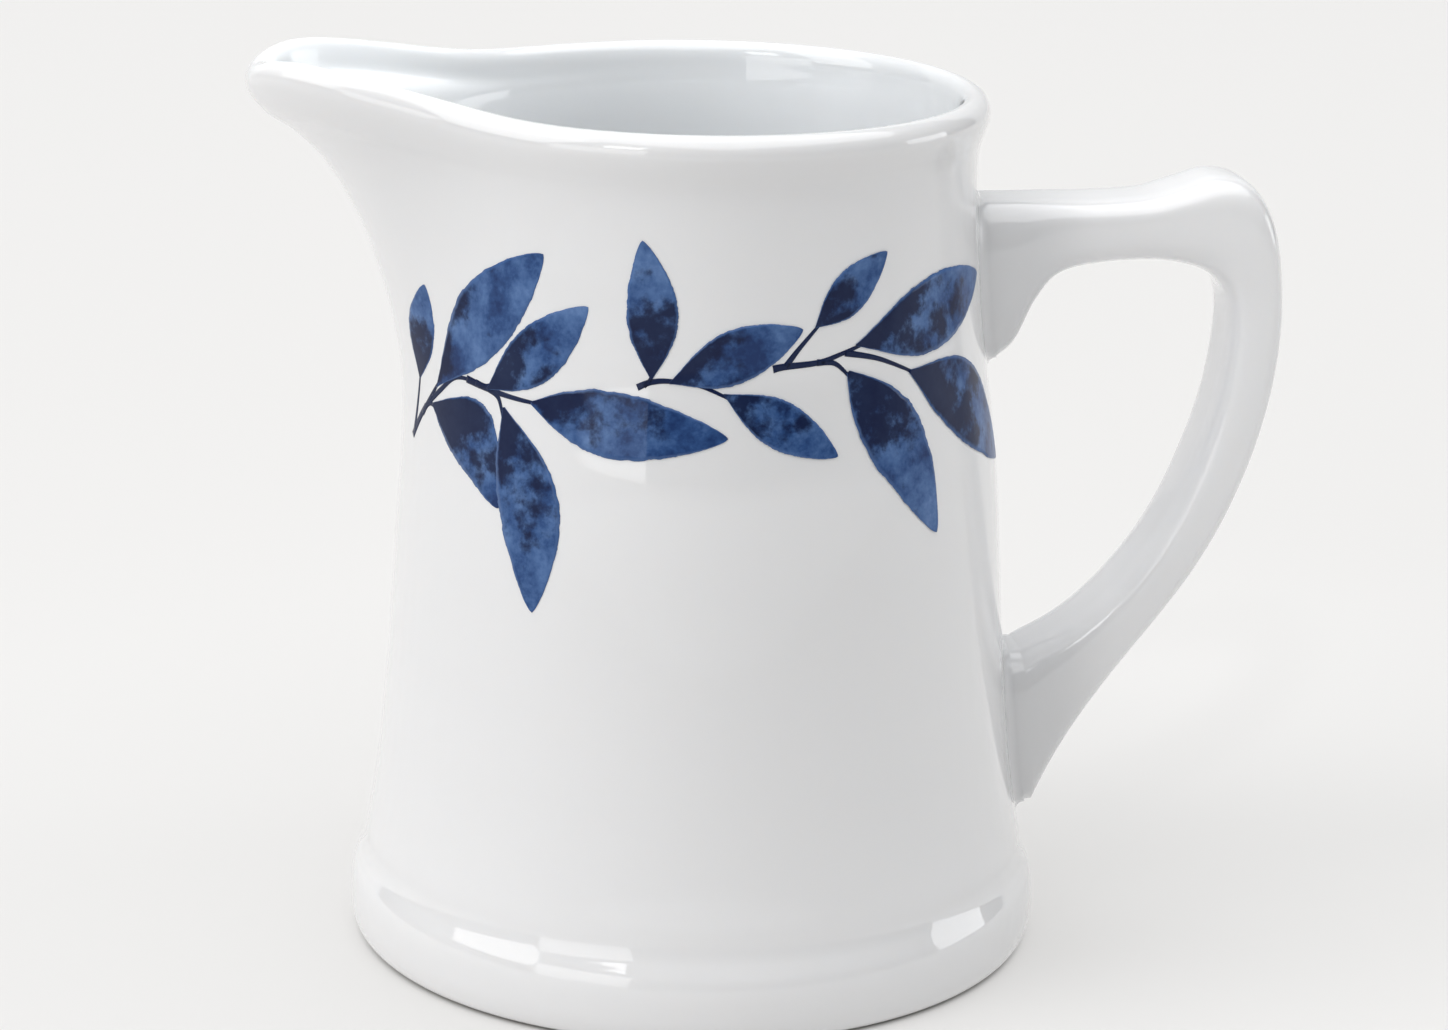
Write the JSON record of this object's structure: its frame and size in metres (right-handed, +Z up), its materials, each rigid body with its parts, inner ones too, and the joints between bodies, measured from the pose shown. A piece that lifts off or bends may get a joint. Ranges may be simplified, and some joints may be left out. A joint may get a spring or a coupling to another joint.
{
  "type": "cream jug",
  "caption": "Small glazed porcelain cream jug with a pulled spout, a rolled rim, a flared foot band, a strap handle and blue leaf sprays round the wall.",
  "frame": {"origin": "on the table, under the middle of the whole jug from spout tip to handle; the jug's own axis is 7.45 mm to the -X side of it", "axes": "+Z up, +X from the spout towards the handle, +Y towards the back side of the jug"},
  "size_m": [0.1115, 0.0762, 0.0978],
  "materials": {
    "body_porcelain": "clear gloss glaze over white porcelain",
    "handle_porcelain": "clear gloss glaze over white porcelain",
    "joint_slip": "fired slip under the same clear glaze",
    "blue_print": "blue print with a watercolour mottle under clear gloss"
  },
  "bodies": {
    "root": {"jug_body": "body_porcelain", "handle": "handle_porcelain", "upper_slip_joint": "joint_slip", "lower_slip_joint": "joint_slip", "front_spout_sprig": "blue_print", "front_middle_sprig": "blue_print", "front_handle_sprig": "blue_print", "back_spout_sprig": "blue_print", "back_middle_sprig": "blue_print", "back_handle_sprig": "blue_print"}
  },
  "joints": []
}
